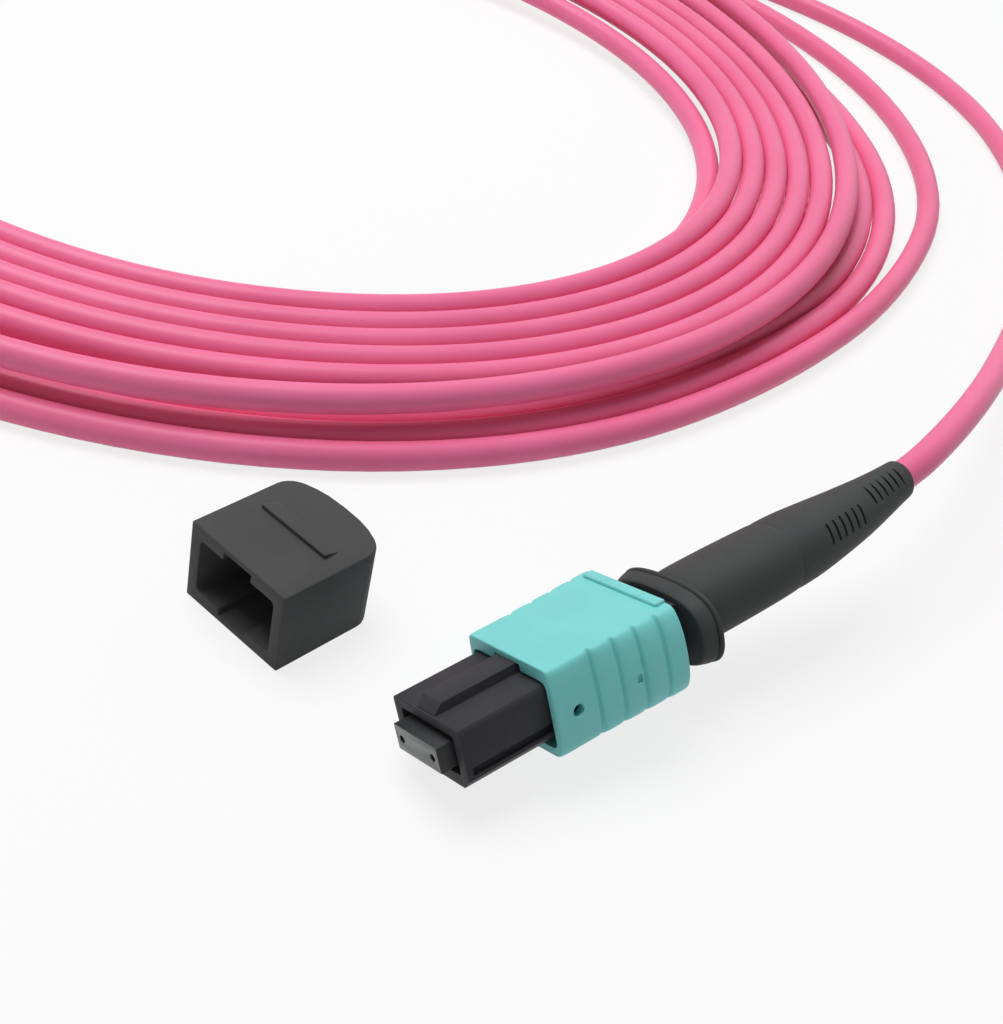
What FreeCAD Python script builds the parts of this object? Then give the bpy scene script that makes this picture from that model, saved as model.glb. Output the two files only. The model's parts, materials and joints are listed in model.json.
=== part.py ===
import FreeCAD, Part
import math
import os

Vec = FreeCAD.Vector
near = 1e-4

# Millimetres, +Z up, the table at z = 0.
# A connector is modelled with x running rearward from its ferrule face, y across and z towards the key.

# Ferrule
ferrule_width = 6.4
ferrule_height = 2.5
ferrule_length = 8.0
ferrule_edge = 0.2
shoulder_width = 7.0
shoulder_height = 3.0
shoulder_length = 2.0
guide_hole_diameter = 0.7
guide_hole_pitch = 4.6
window_length = 1.6
window_width = 3.0
window_setback = 3.2
ribbon_width = 3.1
ribbon_thickness = 0.32
ribbon_lead_in = 2.0
ribbon_tail_gap = 0.3
ferrule_travel = 0.8
ferrule_boot_width = 3.5
ferrule_boot_height = 1.3
ferrule_boot_depth = 3.0
ferrule_boot_tail = 1.0
keeper_length = 2.4
keeper_slot_width = 3.8
keeper_slot_height = 1.6
keeper_socket_diameter = 1.1
keeper_socket_depth = 1.4

# Inner housing
ferrule_stick_out = 1.4
housing_width = 9.8
housing_above = 2.8
housing_below = 3.05
housing_length = 20.9
housing_top_chamfer = 0.6
housing_low_chamfer_across = 0.8
housing_low_chamfer_up = 1.3
key_width = 3.0
key_height = 0.9
key_setback = 0.2
key_tuck = 1.9
key_ramp = 0.85
mouth_width = 7.7
mouth_height = 3.8
mouth_depth = 1.1
ferrule_clearance = 0.08
cavity_width = 7.3
cavity_height = 4.2
latch_notch_length = 2.2
latch_notch_height = 2.6
latch_notch_depth = 0.55
latch_notch_cover = 0.2

# Springs
ferrule_spring_wire = 0.4
ferrule_spring_mean = 3.6
ferrule_spring_turns = 6
coupling_spring_wire = 0.22
coupling_spring_mean = 0.96
coupling_spring_turns = 6
coupling_spring_length = 5.1

# Coupling
coupling_tail = 1.7
coupling_length = 13.8
coupling_wall = 0.75
coupling_side_gap = 0.35
coupling_top_gap = 0.5
key_notch_side = 0.3
key_notch_above = 0.1
key_notch_behind = 0.3
coupling_low_gap = 0.5
coupling_bow = 0.6
coupling_edge = 0.7
grip_steps = 4
grip_start = 4.5
grip_pitch = 2.37
grip_rise = 0.3
grip_margin = 0.25
grip_inset = 0.02
rear_bar_length = 1.7
rear_bar_height = 0.42
rear_bar_inset = 0.1
rear_bar_edge = 0.38
flank_hole_diameter = 1.15
flank_hole_setback = 2.1
flank_hole_drop = 0.4
flank_dent_setback = 8.9
flank_dent_length = 0.55
flank_dent_height = 0.9
flank_dent_depth = 0.2
guide_length = 4.6
guide_clearance = 0.12
lug_length = 0.9
lug_height = 1.5
lug_reach = 0.95
lug_setback = 2.8
lug_clearance = 0.1
groove_side_clearance = 0.2
coupling_travel = 2.0
coupling_stop_gap = 0.3

# Rear body, crimp ring and strain relief
plug_length = 2.5
plug_clearance = 0.05
snap_height = 0.3
snap_length = 0.9
snap_width = 2.4
collar_length = 2.5
collar_inset = 0.1
neck_width = 6.6
neck_height = 5.0
barrel_diameter = 4.4
barrel_length = 7.0
barrel_bore = 3.3
barrel_groove_count = 4
barrel_groove_depth = 0.15
crimp_diameter = 5.2
crimp_length = 6.4
crimp_tail_diameter = 4.2
crimp_tail_length = 2.4
flange_width = 12.6
flange_height = 7.8
flange_length = 2.2
flange_corner = 2.8
flange_edge = 0.6
boot_length = 33.3
boot_root_width = 8.8
boot_root_height = 7.2
boot_mid_width = 8.4
boot_mid_height = 6.8
boot_mid_share = 0.29
boot_waist_width = 8.2
boot_waist_height = 6.6
boot_waist_share = 0.47
boot_taper_width = 7.3
boot_taper_height = 6.1
boot_taper_share = 0.65
boot_neck_width = 5.8
boot_neck_height = 5.3
boot_neck_share = 0.83
boot_end_width = 4.3
boot_end_height = 4.2
boot_slot_count = 6
boot_slot_pitch = 1.3
boot_slot_width = 0.42
boot_slot_margin = 0.9
boot_slot_floor = 0.25
boot_slot_height = 2.4

# Dust cap, modelled from its mouth at x = 0 with z = 0 at its underside
cap_back_wall = 0.75
cap_bow = 1.75
cap_top_wall = 1.3
cap_bottom_wall = 1.4
cap_side_wall = 1.42
cap_clearance = 0.1
cap_tip_gap = 0.46
cap_edge = 0.35
cap_back_radius = 1.0
cap_channel_side = 0.35
cap_channel_drop = 0.65
cap_wedge_setback = 6.3
cap_wedge_length = 2.0
cap_wedge_width = 8.6
cap_wedge_height = 0.45
cap_seat_gap = 0.26

# Cable
cable_diameter = 3.2
jacket_gap = 0.2
bend_share = 0.45

# Where things lie on the table
# boot_lie is how far the strain relief's middle lies left of the axis at each of its sections, from its
# flange to its end, and cable_lie is the same for the cable inside it, as distances behind the flange.
connector_a = {
    "tip": (52.2, -38.14, 4.52), "yaw": 47.0, "pitch": 8.0, "roll": -24.6,
    "boot_lie": (-0.4, -0.5, -0.75, -0.6, -0.15, 0.75),
    "cable_lie": ((14.2, 0.0), (22.7, -0.5), (28.7, 0.0)),
}
connector_b = {
    "tip": (-60.07, -10.975, 4.72), "yaw": 122.0, "pitch": 0.0, "roll": 0.0,
    "boot_lie": (0.0, 0.0, 0.0, 0.0, 0.0, 0.0),
    "cable_lie": (),
}
cap_a_mouth = (32.95, -25.35)
cap_a_yaw = 55.3

# Coil outline, as circles seen from above
coil_floor_centre = (9.0, 86.0)
coil_floor_radius = 91.0
coil_floor_height = 3.3
coil_top_centre = (7.0, 80.5)
coil_top_radius = 84.0
coil_height = 10.5
coil_hole_centre = (10.5, 78.0)
coil_hole_radius = 60.0
coil_edge = 1.4

# Free cable, from each strain relief to the coil
lead_a_start_run = 4.5
lead_a_points = [
    (99.2, 18.0, 13.6),
    (103.2, 28.0, 12.8),
    (107.0, 39.5, 11.3),
    (111.0, 53.0, 8.8),
    (114.8, 68.0, 5.8),
    (117.8, 83.5, 3.2),
    (119.3, 99.5, 1.8),
    (118.3, 116.0, 1.6),
    (114.0, 132.0, 1.6),
    (105.5, 146.0, 1.6),
    (93.5, 157.3, 1.6),
    (78.5, 165.3, 1.6),
    (61.5, 170.0, 1.6),
    (43.0, 171.5, 1.6),
]
lead_b_start_run = 9.0
lead_b_points = [
    (-101.5, 58.5, 4.3),
    (-104.5, 72.0, 3.4),
    (-104.0, 86.0, 2.6),
    (-100.5, 99.5, 2.2),
    (-94.0, 112.0, 2.4),
    (-85.0, 123.5, 3.6),
    (-73.0, 133.5, 5.6),
    (-59.0, 142.0, 7.2),
    (-43.0, 149.0, 7.6),
]

# Places along the connector, worked out from the sizes above
housing_front = ferrule_stick_out
housing_rear = housing_front + housing_length
coupling_rear = housing_rear + coupling_tail
coupling_front = coupling_rear - coupling_length
shoulder_front = ferrule_length - shoulder_length
keeper_rear = ferrule_length + keeper_length
plug_front = housing_rear - plug_length
collar_rear = housing_rear + collar_length
barrel_front = coupling_rear + coupling_travel + coupling_stop_gap
barrel_rear = barrel_front + barrel_length
jacket_front = barrel_rear + jacket_gap
crimp_step = barrel_rear + jacket_gap / 2
crimp_front = crimp_step - crimp_length
crimp_end = crimp_step + jacket_gap / 2
crimp_rear = crimp_step + crimp_tail_length
boot_front = barrel_front
boot_rear = boot_front + boot_length
coupling_half = housing_width / 2 + coupling_side_gap + coupling_wall
coupling_flat_half = coupling_half - coupling_bow
coupling_top = housing_above + coupling_top_gap + coupling_wall
key_front = housing_front + key_setback
key_rear = coupling_front + key_tuck
key_top = housing_above + key_height
coupling_bottom = housing_below + coupling_low_gap + coupling_wall
lug_front = coupling_front + lug_setback
groove_front = lug_front - lug_clearance
groove_rear = lug_front + lug_length + coupling_spring_length
groove_floor = housing_width / 2 - lug_reach
groove_height = lug_height + 2 * groove_side_clearance
cap_axis_height = cap_bottom_wall + cap_clearance + housing_below
cap_width = housing_width + 2 * (cap_clearance + cap_side_wall)
cap_height = cap_axis_height + housing_above + cap_clearance + cap_top_wall
cap_mouth_on_connector = coupling_front - cap_seat_gap
cap_depth = cap_mouth_on_connector + cap_tip_gap
cap_side_length = cap_depth + cap_back_wall


def block(x0, x1, width, z0, z1, y=0.0):
    return Part.makeBox(x1 - x0, width, z1 - z0, Vec(x0, y - width / 2, z0))


def bar(x0, x1, width, height, y=0.0):
    return block(x0, x1, width, -height / 2, height / 2, y)


def rod(radius, x0, x1, y=0.0, z=0.0):
    return Part.makeCylinder(radius, x1 - x0, Vec(x0, y, z), Vec(1, 0, 0))


def prism(section, x0, x1):
    corners = [Vec(x0, y, z) for y, z in section]
    outline = Part.makePolygon(corners + corners[:1])
    return Part.Face(outline).extrude(Vec(x1 - x0, 0, 0))


def along_x(edge):
    run = edge.Vertexes[-1].Point - edge.Vertexes[0].Point
    return abs(run.y) < near and abs(run.z) < near and run.Length > near


def round_edges(shape, radius, chosen):
    edges = [edge for edge in shape.Edges if chosen(edge)]
    return shape.makeFillet(radius, edges)


def spring(mean, wire, turns, x0, x1):
    # An open helix whose end coils stand inside x0 and x1, with a square wire of the round wire's width.
    climb = x1 - x0 - wire
    path = Part.makeHelix(climb / turns, climb, mean / 2)
    half = wire / 2
    corners = [Vec(mean / 2 + a * half, 0, b * half) for a, b in ((-1, -1), (1, -1), (1, 1), (-1, 1))]
    section = Part.makePolygon(corners + corners[:1])
    coil = Part.Wire(path.Edges).makePipeShell([section], True, True)
    coil.rotate(Vec(0, 0, 0), Vec(0, 1, 0), 90)
    coil.translate(Vec(x0 + half, 0, 0))
    return coil


def make_ferrule():
    body = round_edges(bar(0, ferrule_length, ferrule_width, ferrule_height), ferrule_edge, along_x)
    body = body.fuse(bar(shoulder_front, ferrule_length, shoulder_width, shoulder_height))
    for side in (-1, 1):
        body = body.cut(rod(guide_hole_diameter / 2, 0, ferrule_length, side * guide_hole_pitch / 2))
    window_rear = window_setback + window_length
    body = body.cut(block(window_setback, window_rear, window_width, 0, shoulder_height))
    pocket_front = ferrule_length - ferrule_boot_depth
    pocket = bar(pocket_front, ferrule_length, ferrule_boot_width, ferrule_boot_height)
    fibre_slot = bar(pocket_front - ribbon_lead_in, pocket_front, ribbon_width, ribbon_thickness)
    return body.cut(pocket).cut(fibre_slot).removeSplitter()


def make_ferrule_boot():
    front = ferrule_length - ferrule_boot_depth
    rear = ferrule_length + ferrule_boot_tail
    sleeve = bar(front, rear, ferrule_boot_width, ferrule_boot_height)
    return sleeve.cut(bar(front, rear, ribbon_width, ribbon_thickness))


def make_pin_keeper():
    keeper = bar(ferrule_length, keeper_rear, shoulder_width, shoulder_height)
    keeper = keeper.cut(bar(ferrule_length, keeper_rear, keeper_slot_width, keeper_slot_height))
    socket_rear = ferrule_length + keeper_socket_depth
    for side in (-1, 1):
        socket = rod(keeper_socket_diameter / 2, ferrule_length, socket_rear, side * guide_hole_pitch / 2)
        keeper = keeper.cut(socket)
    return keeper


def make_fibre_ribbon():
    front = ferrule_length - ferrule_boot_depth - ribbon_lead_in
    rear = barrel_rear - ferrule_travel - ribbon_tail_gap
    return bar(front, rear, ribbon_width, ribbon_thickness)


def make_ferrule_spring():
    return spring(ferrule_spring_mean, ferrule_spring_wire, ferrule_spring_turns, keeper_rear, plug_front)


def housing_section(grow=0.0):
    half = housing_width / 2 + grow
    top = housing_above + grow
    low = -housing_below - grow
    right = [
        (half - housing_low_chamfer_across, low),
        (half, low + housing_low_chamfer_up),
        (half, top - housing_top_chamfer),
        (half - housing_top_chamfer, top),
    ]
    return right + [(-y, z) for y, z in reversed(right)]


def make_inner_housing():
    shell = prism(housing_section(), housing_front, housing_rear)
    side_view = [
        Vec(key_front, -key_width / 2, 0),
        Vec(key_front, -key_width / 2, housing_above),
        Vec(key_front + key_ramp, -key_width / 2, key_top),
        Vec(key_rear, -key_width / 2, key_top),
        Vec(key_rear, -key_width / 2, 0),
    ]
    key = Part.Face(Part.makePolygon(side_view + side_view[:1])).extrude(Vec(0, key_width, 0))
    shell = shell.fuse(key)
    bore_width = ferrule_width + 2 * ferrule_clearance
    bore_height = ferrule_height + 2 * ferrule_clearance
    shell = shell.cut(bar(housing_front, shoulder_front, bore_width, bore_height))
    shell = shell.cut(bar(housing_front, housing_front + mouth_depth, mouth_width, mouth_height))
    shell = shell.cut(bar(shoulder_front, housing_rear, cavity_width, cavity_height))
    notch_front = coupling_front + latch_notch_cover
    notch_rear = notch_front + latch_notch_length
    for side in (-1, 1):
        groove_middle = side * (groove_floor + lug_reach / 2)
        shell = shell.cut(bar(groove_front, groove_rear, lug_reach, groove_height, groove_middle))
        notch_middle = side * (housing_width - latch_notch_depth) / 2
        shell = shell.cut(bar(notch_front, notch_rear, latch_notch_depth, latch_notch_height, notch_middle))
    snap_front = snap_place()
    for wall in (-1, 1):
        low, high = sorted((wall * cavity_height / 2, wall * (cavity_height / 2 + snap_height)))
        shell = shell.cut(block(snap_front, snap_front + snap_length, snap_width, low, high))
    return shell


def snap_place():
    return plug_front + (plug_length - snap_length) / 2


def make_rear_body():
    plug_width = cavity_width - 2 * plug_clearance
    body = bar(plug_front, housing_rear, plug_width, cavity_height - 2 * plug_clearance)
    snap_front = snap_place()
    snap_span = cavity_height + 2 * (snap_height - plug_clearance)
    snap_depth = snap_length - 2 * plug_clearance
    snap_width_free = snap_width - 2 * plug_clearance
    snap_start = snap_front + plug_clearance
    body = body.fuse(bar(snap_start, snap_start + snap_depth, snap_width_free, snap_span))
    body = body.fuse(prism(housing_section(-collar_inset), housing_rear, collar_rear))
    body = body.fuse(bar(collar_rear, barrel_front, neck_width, neck_height))
    barrel = rod(barrel_diameter / 2, barrel_front, barrel_rear)
    groove_pitch = barrel_length / (2 * barrel_groove_count + 1)
    for index in range(barrel_groove_count):
        start = barrel_front + (2 * index + 1) * groove_pitch
        ring = rod(barrel_diameter / 2, start, start + groove_pitch)
        groove_root = rod(barrel_diameter / 2 - barrel_groove_depth, start, start + groove_pitch)
        barrel = barrel.cut(ring.cut(groove_root))
    return body.fuse(barrel).cut(rod(barrel_bore / 2, plug_front, barrel_rear)).removeSplitter()


def coupling_section(half_flat, half_mid, top, low, x):
    # Flat top and underside, joined by a bowed flank on each side.
    middle = (top + low) / 2
    right = Part.Arc(Vec(x, half_flat, low), Vec(x, half_mid, middle), Vec(x, half_flat, top)).toShape()
    upper = Part.makeLine(Vec(x, half_flat, top), Vec(x, -half_flat, top))
    left = Part.Arc(Vec(x, -half_flat, top), Vec(x, -half_mid, middle), Vec(x, -half_flat, low)).toShape()
    lower = Part.makeLine(Vec(x, -half_flat, low), Vec(x, half_flat, low))
    return Part.Face(Part.Wire([right, upper, left, lower]))


def make_coupling():
    half_flat = coupling_flat_half
    half_mid = coupling_half
    face = coupling_section(half_flat, half_mid, coupling_top, -coupling_bottom, coupling_front)
    sleeve = round_edges(face.extrude(Vec(coupling_length, 0, 0)), coupling_edge, along_x)
    for index in range(grip_steps):
        start = coupling_front + grip_start + index * grip_pitch
        flank = half_mid + (index + 1) * grip_rise
        step = coupling_section(half_flat - grip_inset, flank, coupling_top - grip_margin,
                                -coupling_bottom + grip_margin, start)
        sleeve = sleeve.fuse(step.extrude(Vec(coupling_rear - start, 0, 0)))
    bar_low, bar_high = -coupling_bottom - rear_bar_height, coupling_top + rear_bar_height
    bar_width = 2 * (half_flat - rear_bar_inset)
    rear_bar = block(coupling_rear - rear_bar_length, coupling_rear, bar_width, bar_low, bar_high)
    sleeve = sleeve.fuse(round_edges(rear_bar, rear_bar_edge, along_x))
    guide_front = coupling_rear - guide_length
    hollow = coupling_section(half_flat - coupling_wall, half_mid - coupling_wall,
                              coupling_top - coupling_wall, -coupling_bottom + coupling_wall, coupling_front)
    sleeve = sleeve.cut(hollow.extrude(Vec(guide_front - coupling_front, 0, 0)))
    guide = prism(housing_section(guide_clearance), guide_front, coupling_rear)
    notch = block(coupling_front, key_rear + key_notch_behind, key_width + 2 * key_notch_side, 0,
                  key_top + key_notch_above)
    sleeve = sleeve.cut(guide).cut(notch)
    flank_inside = half_mid - coupling_wall
    for side in (-1, 1):
        lug_inner = groove_floor + lug_clearance
        lug_outer = flank_inside + coupling_wall / 2
        lug_middle = side * (lug_inner + lug_outer) / 2
        lug = bar(lug_front, lug_front + lug_length, lug_outer - lug_inner, lug_height, lug_middle)
        sleeve = sleeve.fuse(lug)
        hole_x = coupling_front + flank_hole_setback
        hole_start = Vec(hole_x, side * half_mid / 2, -flank_hole_drop)
        hole = Part.makeCylinder(flank_hole_diameter / 2, half_mid, hole_start, Vec(0, side, 0))
        sleeve = sleeve.cut(hole)
        dent_x = coupling_front + flank_dent_setback
        dent_step = int((flank_dent_setback - grip_start) // grip_pitch) + 1
        dent_half = half_mid + dent_step * grip_rise
        dent_rear = dent_x + flank_dent_length
        dent = bar(dent_x, dent_rear, 2 * flank_dent_depth, flank_dent_height, side * dent_half)
        sleeve = sleeve.cut(dent)
    return sleeve.removeSplitter()


def make_coupling_springs():
    start = lug_front + lug_length
    pair = []
    for side in (-1, 1):
        coil = spring(coupling_spring_mean, coupling_spring_wire, coupling_spring_turns, start, groove_rear)
        coil.translate(Vec(0, side * (groove_floor + coupling_spring_mean / 2 + coupling_spring_wire), 0))
        pair.append(coil)
    return Part.makeCompound(pair)


def make_crimp_ring():
    ring = rod(crimp_diameter / 2, crimp_front, crimp_end)
    tail = rod(crimp_tail_diameter / 2, crimp_step, crimp_rear)
    barrel = rod(barrel_diameter / 2, crimp_front, crimp_step)
    jacket = rod(cable_diameter / 2, crimp_step, crimp_rear)
    return ring.fuse(tail).cut(barrel).cut(jacket).removeSplitter()


def left_of(pose):
    # The level direction to the connector's left, in the connector's own frame.
    roll = math.radians(pose["roll"])
    return Vec(0, math.cos(roll), -math.sin(roll))


def oval(x, width, height, shift):
    major, minor = max(width, height) / 2, min(width, height) / 2
    curve = Part.Ellipse(Vec(x, 0, 0) + shift, major, minor)
    curve.Axis = Vec(1, 0, 0)
    curve.XAxis = Vec(0, 1, 0)
    return Part.Wire([curve.toShape()])


def make_strain_relief(pose):
    left = left_of(pose)
    lie = [left * distance for distance in pose["boot_lie"]]
    flange = bar(boot_front, boot_front + flange_length, flange_width, flange_height)
    flange = round_edges(flange, flange_corner, along_x)
    rim = [edge for edge in flange.Edges if not along_x(edge)]
    flange = flange.makeFillet(flange_edge, rim)
    flange.translate(lie[0])
    root = boot_front + flange_length / 2
    free = boot_rear - root
    sections = [
        oval(root, boot_root_width, boot_root_height, lie[0]),
        oval(root + boot_mid_share * free, boot_mid_width, boot_mid_height, lie[1]),
        oval(root + boot_waist_share * free, boot_waist_width, boot_waist_height, lie[2]),
        oval(root + boot_taper_share * free, boot_taper_width, boot_taper_height, lie[3]),
        oval(root + boot_neck_share * free, boot_neck_width, boot_neck_height, lie[4]),
        oval(boot_rear, boot_end_width, boot_end_height, lie[5]),
    ]
    boot = flange.fuse(Part.makeLoft(sections, True, False))
    boot = boot.cut(rod(crimp_diameter / 2, boot_front, crimp_end))
    boot = boot.cut(rod(crimp_tail_diameter / 2, boot_front, crimp_rear))
    core = rod(cable_diameter / 2 + boot_slot_floor, boot_front, boot_rear)
    core.translate((lie[4] + lie[5]) / 2)
    for index in range(boot_slot_count):
        for turn, shift in ((0, 0.0), (90, boot_slot_pitch / 2)):
            end = boot_rear - boot_slot_margin - index * boot_slot_pitch - shift
            slot = bar(end - boot_slot_width, end, flange_width, boot_slot_height)
            slot.rotate(Vec(0, 0, 0), Vec(1, 0, 0), turn)
            slot.translate((lie[4] + lie[5]) / 2)
            boot = boot.cut(slot.cut(core))
    return boot


def make_dust_cap():
    half = cap_width / 2
    side_end = Vec(cap_side_length, half, 0)
    far_end = Vec(cap_side_length, -half, 0)
    outline = Part.Wire([
        Part.makeLine(Vec(0, half, 0), side_end),
        Part.Arc(side_end, Vec(cap_side_length + cap_bow, 0, 0), far_end).toShape(),
        Part.makeLine(far_end, Vec(0, -half, 0)),
        Part.makeLine(Vec(0, -half, 0), Vec(0, half, 0)),
    ])
    cap = Part.Face(outline).extrude(Vec(0, 0, cap_height))

    def back_corner(edge):
        middle = edge.CenterOfMass
        return abs(middle.x - cap_side_length) < near and abs(middle.z - cap_height / 2) < near

    cap = round_edges(cap, cap_back_radius, back_corner)

    def rim(edge):
        middle = edge.CenterOfMass
        level = min(abs(middle.z), abs(middle.z - cap_height)) < near
        return level and middle.x > near

    cap = round_edges(cap, cap_edge, rim)
    wedge_rear = cap_wedge_setback + cap_wedge_length
    slope = [
        Vec(cap_wedge_setback, -cap_wedge_width / 2, cap_height),
        Vec(cap_wedge_setback, -cap_wedge_width / 2, cap_height + cap_wedge_height),
        Vec(wedge_rear, -cap_wedge_width / 2, cap_height),
    ]
    wedge = Part.Face(Part.makePolygon(slope + slope[:1])).extrude(Vec(0, cap_wedge_width, 0))
    cap = cap.fuse(wedge)
    inside_low = cap_axis_height - housing_below - cap_clearance
    inside_high = cap_axis_height + housing_above + cap_clearance
    cap = cap.cut(block(0, cap_depth, housing_width + 2 * cap_clearance, inside_low, inside_high))
    channel_width = key_width + 2 * cap_channel_side
    channel_high = inside_high + key_height
    channel_low = inside_low - cap_channel_drop
    return cap.cut(block(0, cap_depth, channel_width, channel_low, channel_high)).removeSplitter()


def connector_place(pose):
    turn = FreeCAD.Rotation(Vec(0, 0, 1), pose["yaw"])
    turn = turn.multiply(FreeCAD.Rotation(Vec(0, 1, 0), -pose["pitch"]))
    turn = turn.multiply(FreeCAD.Rotation(Vec(1, 0, 0), pose["roll"]))
    return FreeCAD.Placement(Vec(*pose["tip"]), turn)


def placed(shape, place):
    copy = shape.copy()
    copy.transformShape(place.toMatrix(), True)
    return copy


def cable_route(points):
    # Straight runs joined by tangent arcs, each as large as the shorter of its two runs allows.
    edges = []
    radii = []
    start = points[0]
    for before, corner, after in zip(points, points[1:], points[2:]):
        run_in = corner - before
        run_out = after - corner
        reach = bend_share * min(run_in.Length, run_out.Length)
        turn = run_in.getAngle(run_out)
        radius = reach / math.tan(turn / 2)
        to_before = (before - corner).normalize()
        to_after = (after - corner).normalize()
        first = corner + to_before * reach
        last = corner + to_after * reach
        bisector = (to_before + to_after).normalize()
        middle = corner + bisector * (radius / math.cos(turn / 2) - radius)
        edges.append(Part.LineSegment(start, first).toShape())
        edges.append(Part.Arc(first, middle, last).toShape())
        start = last
        radii.append(radius)
    edges.append(Part.LineSegment(start, points[-1]).toShape())
    return Part.Wire(edges), radii


def lead_start(pose, start_run):
    # From the crimp ring through the strain relief, and straight on for a short run.
    left = left_of(pose)
    inside = [Vec(jacket_front, 0, 0)]
    inside += [Vec(boot_front + run, 0, 0) + left * distance for run, distance in pose["cable_lie"]]
    leave = Vec(boot_rear, 0, 0) + left * pose["boot_lie"][-1]
    heading = (leave - inside[-1]).normalize()
    return inside + [leave + heading * start_run]


def make_lead(name, pose, start_run, points):
    place = connector_place(pose)
    start = [place.multVec(point) for point in lead_start(pose, start_run)]
    route, radii = cable_route(start + [Vec(*point) for point in points])
    ring = Part.makeCircle(cable_diameter / 2, route.Vertexes[0].Point, place.Rotation.multVec(Vec(1, 0, 0)))
    tube = route.makePipeShell([Part.Wire([ring])], True, False)
    expected = math.pi * cable_diameter ** 2 / 4 * route.Length
    print(name, "length", round(route.Length, 1), "radii", [round(radius, 1) for radius in radii],
          "volume over section times length", round(tube.Volume / expected, 4))
    return tube


def largest(shape):
    return max(shape.Solids, key=lambda solid: solid.Volume)


def make_coil():
    def ring_wire(centre, radius, z):
        return Part.Wire([Part.makeCircle(radius, Vec(centre[0], centre[1], z))])

    base = Part.Face(ring_wire(coil_floor_centre, coil_floor_radius, 0)).extrude(Vec(0, 0, coil_floor_height))
    slope = Part.makeLoft([ring_wire(coil_floor_centre, coil_floor_radius, coil_floor_height),
                           ring_wire(coil_top_centre, coil_top_radius, coil_height)], True, True)
    hole = Part.makeCylinder(coil_hole_radius, coil_height, Vec(*coil_hole_centre, 0))
    coil = base.fuse(slope).cut(hole)

    def top_rim(edge):
        return edge.BoundBox.ZMin > coil_height - near

    return round_edges(coil, coil_edge, top_rim)


def main():
    makers = {
        "ferrule": make_ferrule,
        "ferrule_boot": make_ferrule_boot,
        "pin_keeper": make_pin_keeper,
        "ferrule_spring": make_ferrule_spring,
        "fibre_ribbon": make_fibre_ribbon,
        "inner_housing": make_inner_housing,
        "rear_body": make_rear_body,
        "coupling": make_coupling,
        "coupling_springs": make_coupling_springs,
        "crimp_ring": make_crimp_ring,
    }
    pieces = {name: make() for name, make in makers.items()}
    cap = make_dust_cap()
    coil = make_coil()
    nodes = {}
    ends = (
        ("a", connector_a, lead_a_start_run, lead_a_points),
        ("b", connector_b, lead_b_start_run, lead_b_points),
    )
    for end, pose, start_run, points in ends:
        place = connector_place(pose)
        for name, shape in pieces.items():
            nodes[end + "_" + name] = placed(shape, place)
        lead = make_lead("cable_lead_" + end, pose, start_run, points)
        nodes[end + "_strain_relief"] = placed(make_strain_relief(pose), place).cut(lead)
        nodes["cable_lead_" + end] = largest(lead.cut(coil))
    on_floor = FreeCAD.Placement(Vec(*cap_a_mouth, 0), FreeCAD.Rotation(Vec(0, 0, 1), cap_a_yaw))
    nodes["a_dust_cap"] = placed(cap, on_floor)
    on_connector = FreeCAD.Placement(Vec(cap_mouth_on_connector, 0, -cap_axis_height),
                                     FreeCAD.Rotation(Vec(0, 0, 1), 180))
    nodes["b_dust_cap"] = placed(cap, connector_place(connector_b).multiply(on_connector))
    nodes["cable_coil"] = coil
    os.makedirs("parts", exist_ok=True)
    for name, shape in nodes.items():
        shape.exportStep("parts/" + name + ".step")
        print(name, len(shape.Solids), round(shape.Volume, 3), shape.isValid())


main()
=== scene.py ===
import json
import math

import bmesh
import bpy
from mathutils import Matrix, Vector


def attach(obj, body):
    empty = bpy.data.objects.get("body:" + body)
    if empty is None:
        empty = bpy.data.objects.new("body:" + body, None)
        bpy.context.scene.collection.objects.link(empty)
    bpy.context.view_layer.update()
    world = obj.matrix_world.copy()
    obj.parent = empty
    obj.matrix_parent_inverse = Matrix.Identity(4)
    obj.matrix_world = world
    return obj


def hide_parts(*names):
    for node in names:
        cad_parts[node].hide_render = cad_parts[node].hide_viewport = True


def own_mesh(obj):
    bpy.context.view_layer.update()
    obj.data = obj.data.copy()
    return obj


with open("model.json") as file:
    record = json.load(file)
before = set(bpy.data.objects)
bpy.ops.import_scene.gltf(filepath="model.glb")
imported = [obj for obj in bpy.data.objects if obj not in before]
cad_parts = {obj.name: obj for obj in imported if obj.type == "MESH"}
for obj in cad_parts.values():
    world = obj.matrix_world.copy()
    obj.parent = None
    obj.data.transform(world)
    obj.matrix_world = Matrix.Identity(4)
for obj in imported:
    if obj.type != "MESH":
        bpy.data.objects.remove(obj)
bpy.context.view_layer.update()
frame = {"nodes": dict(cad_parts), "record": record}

bpy.ops.object.select_all(action="DESELECT")
scene = bpy.context.scene
nodes = frame["nodes"]
mm = 0.001

# where the two connectors lie, x running rearward from the ferrule face
connectorA = {"tip": (52.2, -38.14, 4.52), "yaw": 47.0, "pitch": 8.0, "roll": -24.6}
connectorB = {"tip": (-60.07, -10.975, 4.72), "yaw": 122.0, "pitch": 0.0, "roll": 0.0}


def connectorMatrix(pose):
    turn = Matrix.Rotation(math.radians(pose["yaw"]), 4, "Z")
    turn = turn @ Matrix.Rotation(math.radians(-pose["pitch"]), 4, "Y")
    turn = turn @ Matrix.Rotation(math.radians(pose["roll"]), 4, "X")
    return Matrix.Translation(Vector(pose["tip"]) * mm) @ turn


placeA = connectorMatrix(connectorA)
placeB = connectorMatrix(connectorB)


# camera at the photograph's angle
view = {
    "place": (0.055, -0.1325, 0.10457),
    "pitchDown": 39.175,
    "roll": 13.7,
    "focalPx": 1648.3,
    "axisPx": (501.5, 545.8),
    "imagePx": (1003, 1024),
    "sensor": 36.0,
    "clip": (0.005, 50.0),
}


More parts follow.
